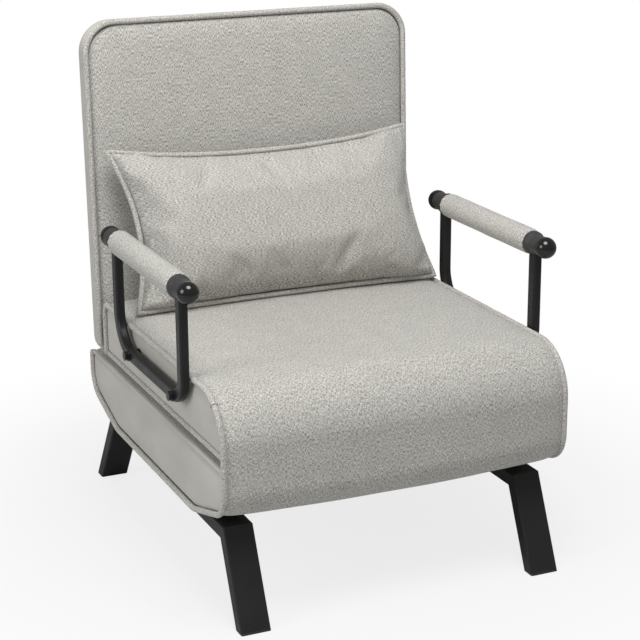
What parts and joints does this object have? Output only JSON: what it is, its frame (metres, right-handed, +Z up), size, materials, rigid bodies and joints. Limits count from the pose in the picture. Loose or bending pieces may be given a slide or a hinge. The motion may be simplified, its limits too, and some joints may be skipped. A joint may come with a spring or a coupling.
{
  "type": "convertible chair bed",
  "caption": "Upholstered armchair with padded loop armrests and a loose lumbar pillow; the seat folds forward and the back reclines flat to make a single bed.",
  "frame": {"origin": "on the floor, under the middle of the whole chair's box, in the chair position", "axes": "+Z up; the chair faces -Y; +X is the sitter's left"},
  "size_m": [0.613, 0.684, 0.8],
  "materials": {
    "woven_fabric": "matt heathered linen-look weave, warm light grey",
    "side_fabric": "smooth close-woven plain cloth, warm light grey, a little shinier than the weave",
    "underside_fabric": "thin black dust cloth",
    "pillow_fabric": "matt heathered linen-look weave, warm light grey",
    "piping_fabric": "piping cord covered in the same weave",
    "arm_fabric": "the same weave, pulled round the arm padding",
    "foam": "open-cell foam",
    "fibre_filling": "loose polyester fibre",
    "webbing": "elastic webbing",
    "black_leg_paint": "satin black powder coat",
    "black_arm_paint": "satin black powder coat",
    "frame_paint": "black painted steel tube",
    "black_hardware": "black oxide steel",
    "zinc_hardware": "zinc plated steel",
    "bare_steel": "plain steel tube",
    "black_cap_plastic": "semi-gloss black plastic",
    "foot_plastic": "matt black plastic"
  },
  "bodies": {
    "base": {"base_cover": "woven_fabric", "base_foam": "foam", "base_frame": "frame_paint", "base_piping": "piping_fabric", "base_webbing": "webbing", "fold_hinge_base_leaves": "zinc_hardware", "fold_hinge_pins": "zinc_hardware", "foot_plugs": "foot_plastic", "leg_bolts": "black_hardware", "leg_front_left": "black_leg_paint", "leg_front_right": "black_leg_paint", "leg_rail_left": "black_leg_paint", "leg_rail_right": "black_leg_paint", "leg_rear_left": "black_leg_paint", "leg_rear_right": "black_leg_paint", "recline_base_plates": "zinc_hardware", "recline_pins": "zinc_hardware"},
    "seat": {"arm_bolts": "black_hardware", "arm_cap_front_left": "black_cap_plastic", "arm_cap_front_right": "black_cap_plastic", "arm_cap_rear_left": "black_cap_plastic", "arm_cap_rear_right": "black_cap_plastic", "arm_foam_left": "foam", "arm_foam_right": "foam", "arm_hoop_left": "black_arm_paint", "arm_hoop_right": "black_arm_paint", "arm_rail_left": "bare_steel", "arm_rail_right": "bare_steel", "arm_sleeve_left": "arm_fabric", "arm_sleeve_right": "arm_fabric", "arm_spacers": "black_hardware", "fold_hinge_seat_leaves": "zinc_hardware", "seat_cover": "woven_fabric", "seat_foam": "foam", "seat_frame": "frame_paint", "seat_piping": "piping_fabric", "seat_webbing": "webbing"},
    "backrest": {"back_cover": "woven_fabric", "back_foam": "foam", "back_frame": "frame_paint", "back_piping": "piping_fabric", "back_webbing": "webbing", "recline_back_plates": "zinc_hardware"},
    "pillow": {"pillow_cover": "pillow_fabric", "pillow_filling": "fibre_filling", "pillow_piping": "piping_fabric"}
  },
  "joints": [
    {"name": "seat_flip", "type": "hinge", "parent": "base", "child": "seat", "pos_m": [0, -0.33, 0.2505], "axis": [1, 0, 0], "range_deg": [0, 180]},
    {"name": "backrest_recline", "type": "hinge", "parent": "base", "child": "backrest", "pos_m": [0, 0.266, 0.2505], "axis": [-1, 0, 0], "range_deg": [0, 88]},
    {"name": "pillow_lift", "type": "slide", "parent": "seat", "child": "pillow", "axis": [0, 0, -1], "range_m": [-0.35, 0]}
  ]
}
